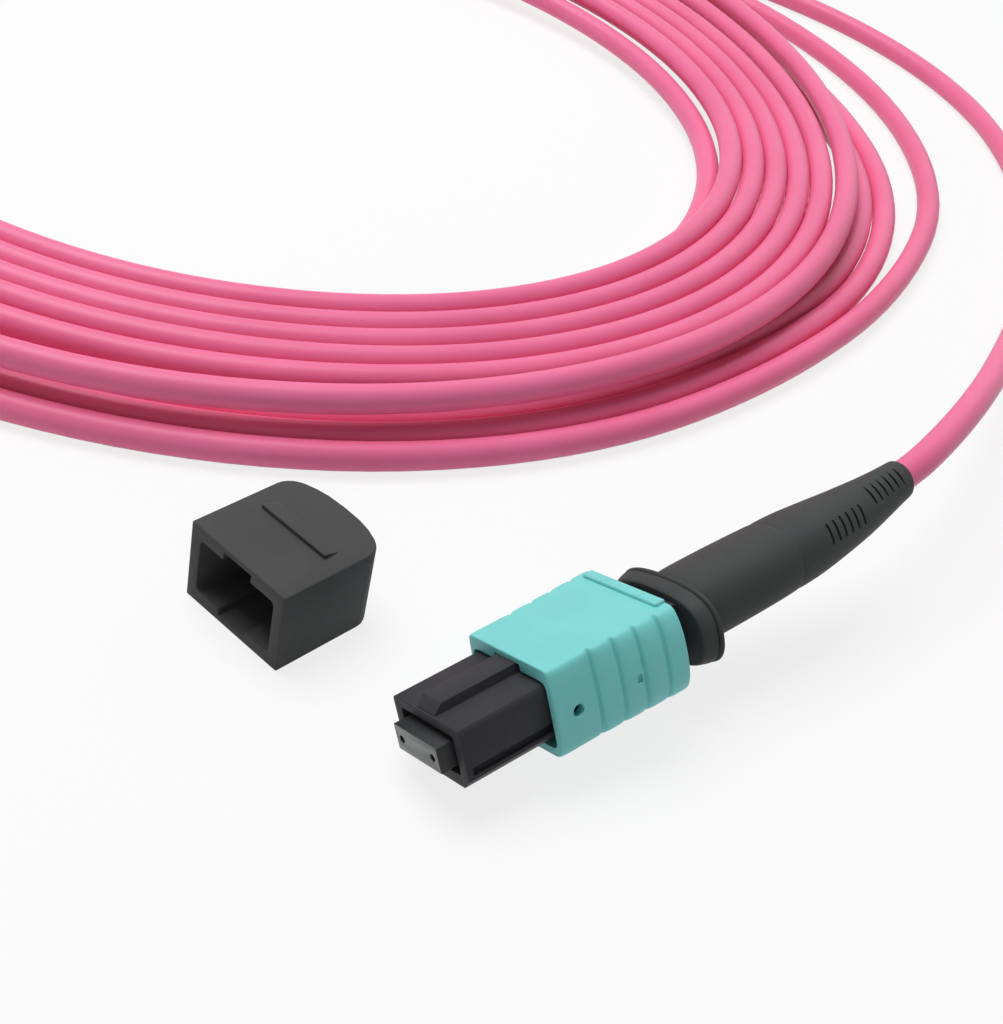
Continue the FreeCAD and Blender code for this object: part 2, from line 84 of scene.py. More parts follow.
def placeCamera():
    wide, high = view["imagePx"]
    bpy.ops.object.camera_add()
    camera = bpy.context.object
    camera.name = "viewCamera"
    turn = Matrix.Rotation(math.radians(90 - view["pitchDown"]), 4, "X")
    turn = turn @ Matrix.Rotation(math.radians(view["roll"]), 4, "Z")
    camera.matrix_world = Matrix.Translation(Vector(view["place"])) @ turn
    lens = camera.data
    lens.sensor_width = view["sensor"]
    lens.lens = view["focalPx"] / high * view["sensor"]
    lens.shift_y = (view["axisPx"][1] - high / 2) / high
    lens.shift_x = (wide / 2 - view["axisPx"][0]) / high
    lens.clip_start, lens.clip_end = view["clip"]
    scene.camera = camera


placeCamera()
print("camera placed")


# node helpers shared by the finishes
noiseSpan = (0.3, 0.7)  # between these lie most of a noise's values


def newFinish(name):
    finish = bpy.data.materials.new(name)
    finish.use_nodes = True
    tree = finish.node_tree
    return finish, tree, tree.nodes["Principled BSDF"]


def addNode(tree, kind, **settings):
    node = tree.nodes.new(kind)
    for key, value in settings.items():
        setattr(node, key, value)
    return node


def setInputs(node, **values):
    for key, value in values.items():
        node.inputs[key.replace("_", " ")].default_value = value


def noiseOn(tree, coords, scale, detail=3.0, roughness=0.5):
    noise = addNode(tree, "ShaderNodeTexNoise")
    setInputs(noise, Scale=scale, Detail=detail, Roughness=roughness)
    tree.links.new(coords, noise.inputs["Vector"])
    return noise.outputs["Fac"]


def rampBetween(tree, value, low, high):
    ramp = addNode(tree, "ShaderNodeValToRGB")
    for stop, place, colour in zip(ramp.color_ramp.elements, noiseSpan, (low, high)):
        stop.position = place
        stop.color = (*colour, 1)
    tree.links.new(value, ramp.inputs["Fac"])
    return ramp.outputs["Color"]


def rangeBetween(tree, value, low, high):
    spread = addNode(tree, "ShaderNodeMapRange")
    setInputs(spread, From_Min=noiseSpan[0], From_Max=noiseSpan[1], To_Min=low, To_Max=high)
    tree.links.new(value, spread.inputs["Value"])
    return spread.outputs["Result"]


def bumpFrom(tree, value, depth, strength, under=None):
    bump = addNode(tree, "ShaderNodeBump")
    setInputs(bump, Strength=strength, Distance=depth)
    tree.links.new(value, bump.inputs["Height"])
    if under is not None:
        tree.links.new(under, bump.inputs["Normal"])
    return bump.outputs["Normal"]


flowStrength = 0.3  # of the slow waves that moulding leaves under the grain


def grainedPlastic(name, look):
    finish, tree, shader = newFinish(name)
    coords = addNode(tree, "ShaderNodeTexCoord").outputs["Object"]
    blotch = noiseOn(tree, coords, look["blotchScale"])
    grain = noiseOn(tree, coords, look["grainScale"], detail=4, roughness=0.6)
    tree.links.new(rampBetween(tree, blotch, look["shade"], look["colour"]), shader.inputs["Base Color"])
    low, high = look["roughness"]
    tree.links.new(rangeBetween(tree, grain, low, high), shader.inputs["Roughness"])
    flow = bumpFrom(tree, blotch, look["flowDepth"], flowStrength)
    relief = bumpFrom(tree, grain, look["grainDepth"], look["grainStrength"], flow)
    tree.links.new(relief, shader.inputs["Normal"])
    setInputs(shader, IOR=look["ior"], Specular_IOR_Level=look["specular"])
    return finish


aquaLook = {
    "colour": (0.215, 0.69, 0.68), "shade": (0.20, 0.65, 0.64), "blotchScale": 220, "grainScale": 5200,
    "roughness": (0.36, 0.48), "grainDepth": 0.00002, "grainStrength": 0.35, "flowDepth": 0.00003,
    "ior": 1.5, "specular": 0.28,
}
blackLook = {
    "colour": (0.050, 0.050, 0.055), "shade": (0.043, 0.043, 0.047), "blotchScale": 260, "grainScale": 4800,
    "roughness": (0.36, 0.50), "grainDepth": 0.00002, "grainStrength": 0.25, "flowDepth": 0.00003,
    "ior": 1.5, "specular": 0.06,
}
capLook = {
    "colour": (0.070, 0.070, 0.072), "shade": (0.062, 0.062, 0.064), "blotchScale": 200, "grainScale": 4200,
    "roughness": (0.50, 0.66), "grainDepth": 0.00003, "grainStrength": 0.35, "flowDepth": 0.00003,
    "ior": 1.48, "specular": 0.11,
}
bootLook = {
    "colour": (0.062, 0.064, 0.065), "shade": (0.055, 0.057, 0.058), "blotchScale": 180, "grainScale": 3600,
    "roughness": (0.46, 0.60), "grainDepth": 0.00003, "grainStrength": 0.3, "flowDepth": 0.00004,
    "ior": 1.47, "specular": 0.1,
}
resinLook = {
    "colour": (0.140, 0.145, 0.147), "shade": (0.120, 0.124, 0.127), "blotchScale": 900, "grainScale": 9000,
    "roughness": (0.28, 0.42), "grainDepth": 0.00001, "grainStrength": 0.3, "flowDepth": 0.00001,
    "ior": 1.55, "specular": 0.5,
}
# ferrule sides: dark resin, painted darker than the housing's black as painted shade from the housing mouth
sidesAndShadeLook = {
    "colour": (0.030, 0.031, 0.033), "shade": (0.024, 0.025, 0.027), "blotchScale": 900, "grainScale": 9000,
    "roughness": (0.34, 0.46), "grainDepth": 0.00001, "grainStrength": 0.25, "flowDepth": 0.00001,
    "ior": 1.55, "specular": 0.22,
}
glassLook = {
    "colour": (0.24, 0.26, 0.27), "shade": (0.20, 0.22, 0.23), "blotchScale": 3000, "grainScale": 9000,
    "roughness": (0.06, 0.12), "grainDepth": 0.000002, "grainStrength": 0.1, "flowDepth": 0.000002,
    "ior": 1.46, "specular": 0.6,
}
ribbonLook = {
    "colour": (0.72, 0.74, 0.76), "shade": (0.62, 0.65, 0.68), "blotchScale": 400, "grainScale": 6000,
    "roughness": (0.15, 0.3), "grainDepth": 0.00001, "grainStrength": 0.2, "flowDepth": 0.00002,
    "ior": 1.46, "specular": 0.5,
}


def drawnMetal(name, look):
    finish, tree, shader = newFinish(name)
    coords = addNode(tree, "ShaderNodeTexCoord").outputs["Object"]
    tarnish = noiseOn(tree, coords, look["tarnishScale"], detail=4)
    scratch = noiseOn(tree, coords, look["scratchScale"], detail=2)
    tree.links.new(rampBetween(tree, tarnish, look["shade"], look["colour"]), shader.inputs["Base Color"])
    low, high = look["roughness"]
    tree.links.new(rangeBetween(tree, scratch, low, high), shader.inputs["Roughness"])
    relief = bumpFrom(tree, scratch, look["scratchDepth"], look["scratchStrength"])
    tree.links.new(relief, shader.inputs["Normal"])
    setInputs(shader, Metallic=1.0)
    return finish


steelLook = {
    "colour": (0.60, 0.60, 0.61), "shade": (0.48, 0.48, 0.50), "roughness": (0.22, 0.38),
    "tarnishScale": 500, "scratchScale": 7000, "scratchDepth": 0.00001, "scratchStrength": 0.25,
}
crimpLook = {
    "colour": (0.66, 0.54, 0.33), "shade": (0.52, 0.41, 0.24), "roughness": (0.28, 0.45),
    "tarnishScale": 500, "scratchScale": 7000, "scratchDepth": 0.00001, "scratchStrength": 0.25,
}
jacketLook = {
    "colour": (0.89, 0.185, 0.365), "shade": (0.83, 0.155, 0.32), "roughness": (0.34, 0.44),
    "blotchScale": 60, "grainScale": 3500, "grainDepth": 0.00002, "grainStrength": 0.25,
    "ior": 1.48, "specular": 0.3, "glowWeight": 0.03, "glowReach": (0.0012, 0.0005, 0.0006),
}


def extrudedJacket(name, look):
    finish, tree, shader = newFinish(name)
    coords = addNode(tree, "ShaderNodeTexCoord").outputs["Object"]
    blotch = noiseOn(tree, coords, look["blotchScale"], detail=2)
    grain = noiseOn(tree, coords, look["grainScale"], roughness=0.6)
    tree.links.new(rampBetween(tree, blotch, look["shade"], look["colour"]), shader.inputs["Base Color"])
    low, high = look["roughness"]
    tree.links.new(rangeBetween(tree, grain, low, high), shader.inputs["Roughness"])
    relief = bumpFrom(tree, grain, look["grainDepth"], look["grainStrength"])
    tree.links.new(relief, shader.inputs["Normal"])
    setInputs(shader, IOR=look["ior"], Specular_IOR_Level=look["specular"],
              Subsurface_Weight=look["glowWeight"], Subsurface_Radius=look["glowReach"])
    return finish


finishes = {
    "aqua_plastic": grainedPlastic("aquaPlastic", aquaLook),
    "black_plastic": grainedPlastic("blackPlastic", blackLook),
    "cap_plastic": grainedPlastic("capPlastic", capLook),
    "soft_rubber": grainedPlastic("bootRubber", bootLook),
    "filled_resin": grainedPlastic("ferruleResin", resinLook),
    "ribbon": grainedPlastic("ribbonCoat", ribbonLook),
    "spring_steel": drawnMetal("springSteel", steelLook),
    "crimp_metal": drawnMetal("crimpMetal", crimpLook),
    "ferruleSidesAndShade": grainedPlastic("ferruleSidesAndShade", sidesAndShadeLook),
    "fibreGlass": grainedPlastic("fibreGlass", glassLook),
    "pink_jacket": extrudedJacket("pinkJacket", jacketLook),
}
for part in frame["record"]["subparts"]:
    mesh = nodes[part["node"]].data
    mesh.materials.clear()
    mesh.materials.append(finishes[part["material_slot"]])
print("finishes made:", len(finishes))


# the cable: one smooth line from boot to boot, its turns as more points of the same line
cable = {
    "diameter": 3.2,
    "bootEnd": 59.6,
    "insideA": [(40.5, 0.0), (49.0, -0.5), (55.0, 0.0)],  # along the connector, and to its left
    "insideB": [(44.0, 0.0), (55.0, 0.0)],
    "endA": 0.55,
    "startRunA": 4.5,
    "startRunB": 9.0,
    "leadA": [
        (99.2, 18.0, 13.6), (103.2, 28.0, 12.8), (107.0, 39.5, 11.3), (111.0, 53.0, 8.8),
        (114.8, 68.0, 5.8), (117.8, 83.5, 3.2), (119.3, 99.5, 1.8), (118.3, 116.0, 1.6),
        (114.0, 132.0, 1.6), (105.5, 146.0, 1.6), (93.5, 157.3, 1.6), (78.5, 165.3, 1.6),
        (61.5, 170.0, 1.6), (43.0, 171.5, 1.6),
    ],
    "leadB": [
        (-101.5, 58.5, 4.3), (-104.5, 72.0, 3.4), (-104.0, 86.0, 2.6), (-100.5, 99.5, 2.2),
        (-94.0, 112.0, 2.4), (-85.0, 123.5, 3.6), (-73.0, 133.5, 5.6), (-59.0, 142.0, 7.2),
        (-43.0, 149.0, 7.6),
    ],
    "length": 5.2,
    "stepsAlong": 8,
    "stepsRound": 7,
}
coil = {
    "centre": (8.5, 82.0),
    "pointEvery": 20.0,
    "middle": 74.0,
    "fanOut": 0.5,
    # angle run so far, radius and height as the turns go in on the table and come out on top
    "stations": [
        (69, 89.25, 1.6), (120, 87.5, 1.6), (180, 87.0, 1.6), (230, 85.8, 1.6), (266, 85.3, 1.6),
        (300, 84.8, 1.6), (334, 85.1, 1.6), (349, 89.6, 1.6), (365, 96.2, 1.6), (380, 98.4, 1.6),
        (395, 97.0, 1.6), (410, 93.0, 1.6), (430, 87.0, 1.6), (450, 84.4, 1.6), (480, 83.2, 1.6),
        (560, 82.4, 1.6), (625, 81.9, 1.6), (651, 81.6, 1.6), (680, 81.5, 1.6), (694, 81.8, 1.6),
        (709, 86.2, 1.6), (722, 89.4, 1.6), (740, 89.2, 1.6), (770, 84.4, 1.6), (800, 80.8, 1.6),
        (850, 79.6, 1.6), (900, 79.0, 1.6), (950, 78.6, 1.6), (1012, 78.2, 1.6), (1040, 78.1, 1.6),
        (1054, 78.5, 1.6), (1069, 82.9, 1.6), (1082, 86.1, 1.6), (1100, 85.9, 1.6), (1130, 81.0, 1.6),
        (1160, 76.8, 1.6), (1200, 72.0, 1.6), (1250, 68.0, 1.6), (1300, 65.2, 1.6), (1372, 63.2, 1.6),
        (1420, 62.7, 1.9), (1480, 62.4, 3.0), (1560, 62.4, 4.7), (1640, 62.4, 5.2), (1732, 62.7, 5.3),
        (1800, 65.2, 5.3), (1900, 65.3, 5.2), (2092, 66.1, 5.2), (2160, 68.4, 5.2), (2260, 68.6, 5.2),
        (2452, 69.4, 5.2), (2520, 71.6, 5.2), (2620, 71.9, 5.2), (2812, 72.7, 5.2), (2880, 74.8, 5.2),
        (2990, 75.3, 5.2), (3138, 75.9, 4.6), (3172, 75.9, 5.0), (3240, 77.95, 5.4), (3330, 79.6, 5.8),
        (3420, 81.6, 6.2), (3506, 83.4, 6.3), (3532, 81.3, 6.3), (3555, 80.0, 6.3), (3577, 80.2, 6.3),
        (3598, 81.1, 6.3), (3630, 82.6, 6.4), (3670, 82.9, 6.8), (3700, 82.4, 7.2), (3727.5, 81.9, 7.6),
    ],
}


def coilPoints():
    stations = coil["stations"]
    step = coil["pointEvery"]
    # the smooth line runs inside its points by this share
    lift = 0.75 + 0.25 * math.cos(math.radians(step))
    points = []
    angle = stations[0][0] + step
    at = 0
    while angle < stations[-1][0] - step / 2:
        while stations[at + 1][0] < angle:
            at += 1
        first, last = stations[at], stations[at + 1]
        share = (angle - first[0]) / (last[0] - first[0])
        radius = first[1] + share * (last[1] - first[1])
        height = first[2] + share * (last[2] - first[2])
        turn = math.radians(angle)
        spread = 1 + coil["fanOut"] * max(0.0, math.sin(turn)) ** 2
        radius = (coil["middle"] + (radius - coil["middle"]) * spread) / lift
        x = coil["centre"][0] + radius * math.cos(turn)
        y = coil["centre"][1] + radius * math.sin(turn)
        points.append(Vector((x, y, height)) * mm)
        angle += step
    return points


def beside(place, pose, along, left):
    roll = math.radians(pose["roll"])
    return place @ (Vector((along, left * math.cos(roll), -left * math.sin(roll))) * mm)


def makeCable():
    end = cable["bootEnd"]
    inside = [beside(placeA, connectorA, *point) for point in cable["insideA"]]
    leave = beside(placeA, connectorA, end, cable["endA"])
    heading = (leave - inside[-1]).normalized()
    points = inside + [leave, leave + heading * cable["startRunA"] * mm]
    points += [Vector(point) * mm for point in cable["leadA"]]
    points += coilPoints()
    points += [Vector(point) * mm for point in reversed(cable["leadB"])]
    points += [beside(placeB, connectorB, along, 0.0) for along in (end + cable["startRunB"], end)]
    points += [beside(placeB, connectorB, *point) for point in reversed(cable["insideB"])]
    curve = bpy.data.curves.new("pinkCable", "CURVE")
    curve.dimensions = "3D"
    curve.resolution_u = cable["stepsAlong"]
    curve.bevel_depth = cable["diameter"] / 2 * mm
    curve.bevel_resolution = cable["stepsRound"]
    curve.use_fill_caps = True
    spline = curve.splines.new("NURBS")
    spline.points.add(len(points) - 1)
    for point, place in zip(spline.points, points):
        point.co = (*place, 1)
    spline.order_u = 3
    spline.use_endpoint_u = True
    spline.use_smooth = True
    piece = bpy.data.objects.new("pinkCable", curve)
    scene.collection.objects.link(piece)
    curve.materials.append(finishes["pink_jacket"])
    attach(piece, "cable")
    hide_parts("cable_coil", "cable_lead_a", "cable_lead_b")
    return len(points)


print("cable laid with", makeCable(), "points")


# modelling helpers: pieces are shaped in millimetres along the connector, then laid in place
clearBy = 1.0  # how far a cutting block runs on past the surface


def isAt(value, place):
    return abs(value - place) < 0.01


def runsAlong(first, last):
    return abs(first.x - last.x) > 1


def beginCube(name, low, high):
    bpy.ops.object.select_all(action="DESELECT")
    middle = [(first + last) / 2 for first, last in zip(low, high)]
    bpy.ops.mesh.primitive_cube_add(size=1, location=middle)
    piece = bpy.context.object
    piece.name = name
    piece.scale = [last - first for first, last in zip(low, high)]
    bpy.ops.object.transform_apply(location=True, rotation=True, scale=True)
    return piece


def beginBlock(name, block):
    return beginCube(name, block["low"], block["high"])


def flankBlock(name, side, low, high):
    # its inner and outer faces change places on the other flank
    inner, outer = sorted((side * low[1], side * high[1]))
    return beginCube(name, (low[0], inner, low[2]), (high[0], outer, high[2]))


def beginRod(name, radius, start, end, sides=32):
    bpy.ops.object.select_all(action="DESELECT")
    run = Vector(end) - Vector(start)
    bpy.ops.mesh.primitive_cylinder_add(vertices=sides, radius=radius, depth=run.length,
                                        location=(Vector(start) + Vector(end)) / 2,
                                        rotation=run.to_track_quat("Z", "Y").to_euler())
    piece = bpy.context.object
    piece.name = name
    bpy.ops.object.transform_apply(location=True, rotation=True, scale=True)
    return piece


def openEdit(piece, kind="VERT"):
    bpy.ops.object.select_all(action="DESELECT")
    piece.select_set(True)
    bpy.context.view_layer.objects.active = piece
    bpy.ops.object.mode_set(mode="EDIT")
    bpy.ops.mesh.select_mode(type=kind)
    bpy.ops.mesh.select_all(action="DESELECT")


def closeEdit():
    bpy.ops.object.mode_set(mode="OBJECT")


def sliceAt(piece, axis, places):
    openEdit(piece)
    for place in places:
        bpy.ops.mesh.select_all(action="SELECT")
        point, normal = [0, 0, 0], [0, 0, 0]
        point[axis], normal[axis] = place, 1
        bpy.ops.mesh.bisect(plane_co=point, plane_no=normal)
    closeEdit()


def pickPoints(piece, test):
    bpy.ops.mesh.select_all(action="DESELECT")
    mesh = bmesh.from_edit_mesh(piece.data)
    for vert in mesh.verts:
        vert.select_set(test(vert.co))
    mesh.select_flush(True)
    bmesh.update_edit_mesh(piece.data)


def pickEdges(piece, test):
    bpy.ops.mesh.select_all(action="DESELECT")
    mesh = bmesh.from_edit_mesh(piece.data)
    for edge in mesh.edges:
        if test(edge.verts[0].co, edge.verts[1].co):
            edge.select_set(True)
    bmesh.update_edit_mesh(piece.data)


def roundedBlock(name, block, segments):
    piece = beginBlock(name, block)
    openEdit(piece, "EDGE")
    pickEdges(piece, runsAlong)
    bpy.ops.mesh.bevel(offset=block["corner"], segments=segments, affect="EDGES")
    closeEdit()
    return piece


def sized(piece, test, value):
    pickPoints(piece, test)
    bpy.ops.transform.resize(value=value, center_override=(0, 0, 0))


def shifted(piece, test, value):
    pickPoints(piece, test)
    bpy.ops.transform.translate(value=value)


def finishWith(piece, kind, **settings):
    bpy.ops.object.select_all(action="DESELECT")
    piece.select_set(True)
    bpy.context.view_layer.objects.active = piece
    modifier = piece.modifiers.new("step", kind)
    for key, value in settings.items():
        setattr(modifier, key, value)
    bpy.ops.object.modifier_apply(modifier=modifier.name)


def smoothed(piece, levels):
    finishWith(piece, "SUBSURF", levels=levels, render_levels=levels)


def softened(piece, width, segments=2, angle=35):
    finishWith(piece, "BEVEL", width=width, segments=segments, limit_method="ANGLE",
               angle_limit=math.radians(angle), harden_normals=False)


def cutAway(piece, tool):
    finishWith(piece, "BOOLEAN", object=tool, operation="DIFFERENCE", solver="EXACT")
    bpy.data.objects.remove(tool)


def joinOn(piece, tool):
    finishWith(piece, "BOOLEAN", object=tool, operation="UNION", solver="EXACT")
    bpy.data.objects.remove(tool)


def joinMeshes(piece, others):
    bpy.ops.object.select_all(action="DESELECT")
    for item in others + [piece]:
        item.select_set(True)
    bpy.context.view_layer.objects.active = piece
    bpy.ops.object.join()


def cleaned(piece, near=0.002):
    openEdit(piece)
    bpy.ops.mesh.select_all(action="SELECT")
    bpy.ops.mesh.remove_doubles(threshold=near)
    bpy.ops.mesh.dissolve_degenerate(threshold=near)
    closeEdit()


def layDown(piece, place, body, node, looks, angle=40):
    cleaned(piece)
    bpy.ops.object.select_all(action="DESELECT")
    piece.select_set(True)
    bpy.context.view_layer.objects.active = piece
    bpy.ops.object.shade_smooth_by_angle(angle=math.radians(angle))
    if not piece.data.materials:
        for look in looks:
            piece.data.materials.append(look)
    piece.data.transform(place @ Matrix.Scale(mm, 4))
    piece.data.update()
    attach(piece, body)
    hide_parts(node)


def copyOf(piece, name):
    other = piece.copy()
    other.data = piece.data.copy()
    other.name = name
    scene.collection.objects.link(other)
    return other


# aqua push-pull sleeve with stepped grips on both flanks
sleeve = {
    "front": 10.2, "rear": 24.0, "top": 4.28, "low": -4.4,
    # height, half the width there, and the shares of the bow and of the grips that height takes
    "flank": [
        (4.28, 5.36, 0.35, 0.7), (4.02, 5.68, 0.45, 0.9), (3.4, 5.84, 0.68, 1.0),
        (1.9, 6.02, 0.95, 1.0), (0.0, 6.10, 1.0, 1.0), (-2.0, 6.10, 0.95, 1.0),
        (-3.4, 6.00, 0.65, 0.9), (-4.15, 5.52, 0.40, 0.7), (-4.4, 4.98, 0.30, 0.4),
    ],
    # place along the sleeve, how far its flanks bow out there, and how deep a grip's groove is
    "bow": [
        (10.2, -0.34, 0.0), (10.38, -0.08, 0.0), (10.8, 0.03, 0.0), (12.4, 0.05, 0.0),
        (14.2, 0.06, 0.0), (14.5, 0.08, -0.05), (14.68, 0.08, -0.38), (14.83, 0.20, -0.44),
        (14.98, 0.28, -0.02), (15.9, 0.35, 0.0), (16.68, 0.36, 0.0), (16.96, 0.36, -0.05),
        (17.13, 0.37, -0.38), (17.28, 0.49, -0.44), (17.43, 0.57, -0.02), (18.3, 0.63, 0.0),
        (19.0, 0.64, 0.0), (19.26, 0.64, -0.05), (19.43, 0.65, -0.38), (19.58, 0.76, -0.44),
        (19.73, 0.84, -0.02), (20.6, 0.89, 0.0), (21.4, 0.90, 0.0), (21.66, 0.90, -0.05),
        (21.83, 0.91, -0.38), (21.98, 1.02, -0.44), (22.13, 1.09, -0.02), (22.9, 1.14, 0.0),
        (23.75, 1.14, 0.0), (24.0, 1.04, 0.0),
    ],
    "acrossLines": (-0.9, -0.8, 0.0, 0.8, 0.9),  # shares of the half width
    "cavity": {"low": (9.0, -5.2, -3.55), "high": (19.4, 5.2, 3.05), "corner": 0.7},
    "guide": {"low": (19.0, -5.02, -3.17), "high": (25.0, 5.02, 2.92)},
    "keyNotch": {"low": (9.0, -1.8, 2.0), "high": (12.5, 1.8, 3.72)},
    "hole": {"at": (12.42, -0.35), "radius": 0.58, "inner": 4.6, "outer": 8.0},
    "dent": {"low": (18.5, 6.42, -0.68), "high": (19.08, 8.0, 0.14)},
    # the upper and the lower bar: from and to these heights
    "rearBar": {"front": 22.85, "half": 5.05, "heights": [(3.3, 4.62), (-4.70, -3.5)], "round": 0.2},
    "edge": 0.09,
}


def makeSleeve():
    front, rear = sleeve["front"], sleeve["rear"]
    piece = beginCube("aquaSleeveA", (front, -1, sleeve["low"]), (rear, 1, sleeve["top"]))
    sliceAt(piece, 0, [station[0] for station in sleeve["bow"][1:-1]])
    sliceAt(piece, 2, [row[0] for row in sleeve["flank"][1:-1]])
    sliceAt(piece, 1, sleeve["acrossLines"])
    openEdit(piece)
    for place, out, groove in sleeve["bow"]:
        for height, half, outShare, grooveShare in sleeve["flank"]:
            wide = half + out * outShare + groove * grooveShare
            sized(piece, lambda co: isAt(co.x, place) and isAt(co.z, height), (1, wide, 1))
    closeEdit()
    smoothed(piece, 2)
    cutAway(piece, roundedBlock("cavity", sleeve["cavity"], 4))
    for name in ("guide", "keyNotch"):
        cutAway(piece, beginBlock(name, sleeve[name]))
    hole = sleeve["hole"]
    x, z = hole["at"]
    for side in (-1, 1):
        start, end = (x, side * hole["inner"], z), (x, side * hole["outer"], z)
        cutAway(piece, beginRod("flankHole", hole["radius"], start, end))
        cutAway(piece, flankBlock("dent", side, sleeve["dent"]["low"], sleeve["dent"]["high"]))
    softened(piece, sleeve["edge"], segments=2, angle=38)
    rearBar = sleeve["rearBar"]
    half = rearBar["half"]
    bars = []
    for low, high in rearBar["heights"]:
        bar = beginCube("rearBar", (rearBar["front"], -half, low), (rear, half, high))
        softened(bar, rearBar["round"], segments=3)
        bars.append(bar)
    joinMeshes(piece, bars)
    other = copyOf(piece, "aquaSleeveB")
    layDown(piece, placeA, "a_coupling_sleeve", "a_coupling", [finishes["aqua_plastic"]])
    layDown(other, placeB, "b_coupling_sleeve", "b_coupling", [finishes["aqua_plastic"]])


makeSleeve()
print("aqua sleeves made")


# black plug housing with its key, open for the ferrule
plug = {
    "low": (1.4, -4.9, -3.05), "high": (22.3, 4.9, 2.8),
    "topRound": 0.5, "lowChamfer": 0.95,
    "mouth": {"low": (0.5, -3.85, -1.9), "high": (2.5, 3.85, 1.9), "corner": 0.3},
    "bore": {"low": (0.5, -3.28, -1.33), "high": (6.2, 3.28, 1.33)},
    "cavity": {"low": (6.0, -3.65, -2.1), "high": (23.0, 3.65, 2.1)},
    "rail": {"start": 2.0, "end": 23.0, "depth": 0.5, "low": -1.85, "high": -1.0},
    "springGroove": {"start": 12.9, "end": 19.0, "depth": 0.95, "low": -0.95, "high": 0.95},
    "latch": {"start": 10.4, "end": 12.6, "depth": 0.55, "low": -1.3, "high": 1.3},
    "key": {"low": (1.6, -1.35, 2.0), "high": (12.1, 1.35, 3.72), "rampEnd": 2.45, "rampDrop": 0.82},
    "edge": 0.1,
}


def makePlug():
    piece = beginBlock("plugHousingA", plug)
    openEdit(piece, "EDGE")
    pickEdges(piece, lambda first, last: runsAlong(first, last) and first.z > 0)
    bpy.ops.mesh.bevel(offset=plug["topRound"], segments=3, affect="EDGES")
    pickEdges(piece, lambda first, last: runsAlong(first, last) and first.z < 0)
    bpy.ops.mesh.bevel(offset=plug["lowChamfer"], segments=1, affect="EDGES")
    closeEdit()
    key = beginBlock("key", plug["key"])
    nose, top = plug["key"]["low"][0], plug["key"]["high"][2]
    sliceAt(key, 0, [plug["key"]["rampEnd"]])
    openEdit(key)
    shifted(key, lambda co: isAt(co.x, nose) and isAt(co.z, top), (0, 0, -plug["key"]["rampDrop"]))
    closeEdit()
    joinOn(piece, key)
    cutAway(piece, roundedBlock("mouth", plug["mouth"], 2))
    for name in ("bore", "cavity"):
        cutAway(piece, beginBlock(name, plug[name]))
    half = plug["high"][1]
    for side in (-1, 1):
        for name in ("rail", "springGroove", "latch"):
            groove = plug[name]
            low = (groove["start"], half - groove["depth"], groove["low"])
            high = (groove["end"], half + clearBy, groove["high"])
            cutAway(piece, flankBlock(name, side, low, high))
    softened(piece, plug["edge"], segments=3, angle=30)
    other = copyOf(piece, "plugHousingB")
    layDown(piece, placeA, "cable", "a_inner_housing", [finishes["black_plastic"]])
    layDown(other, placeB, "cable", "b_inner_housing", [finishes["black_plastic"]])


makePlug()
print("plug housings made")


# ferrule: dark resin sides, painted darker still as the shade of the housing mouth, polished grey end face
# with two guide holes and the row of fibre ends
ferrule = {
    "low": (0.0, -3.2, -1.25), "high": (8.0, 3.2, 1.25), "edge": 0.05,
    "shoulder": {"low": (6.0, -3.5, -1.5), "high": (8.0, 3.5, 1.5)},
    "holePitch": 4.6, "holeRadius": 0.35, "holeSides": 24,
    "fibres": 12, "fibrePitch": 0.25, "fibreRadius": 0.0625, "fibreSides": 12,
    "fibreProud": 0.003, "fibreDeep": 0.3,
}


def makeFerrule():
    piece = beginBlock("ferruleA", ferrule)
    joinOn(piece, beginBlock("shoulder", ferrule["shoulder"]))
    before, behind = ferrule["low"][0] - clearBy, ferrule["high"][0] + clearBy
    for side in (-1, 1):
        across = side * ferrule["holePitch"] / 2
        cutAway(piece, beginRod("guideHole", ferrule["holeRadius"], (before, across, 0),
                                (behind, across, 0), ferrule["holeSides"]))
    softened(piece, ferrule["edge"], segments=2, angle=40)
    rods = []
    for index in range(ferrule["fibres"]):
        across = (index - (ferrule["fibres"] - 1) / 2) * ferrule["fibrePitch"]
        start, end = (-ferrule["fibreProud"], across, 0), (ferrule["fibreDeep"], across, 0)
        rods.append(beginRod("fibreEnd", ferrule["fibreRadius"], start, end, ferrule["fibreSides"]))
    joinMeshes(rods[0], rods[1:])
    looks = [finishes["ferruleSidesAndShade"], finishes["filled_resin"], finishes["fibreGlass"]]
    for look in looks:
        piece.data.materials.append(look)
        rods[0].data.materials.append(look)
    # all but the end face take the sides finish, whose darkness is partly painted shade
    for face in piece.data.polygons:
        onFront = face.normal.x < -0.9 and face.center.x < ferrule["edge"]
        face.material_index = 1 if onFront else 0
    for face in rods[0].data.polygons:
        face.material_index = 2
    joinMeshes(piece, rods[:1])
    other = copyOf(piece, "ferruleB")
    layDown(piece, placeA, "a_ferrule_set", "a_ferrule", looks)
    layDown(other, placeB, "b_ferrule_set", "b_ferrule", looks)


makeFerrule()
print("ferrules made")


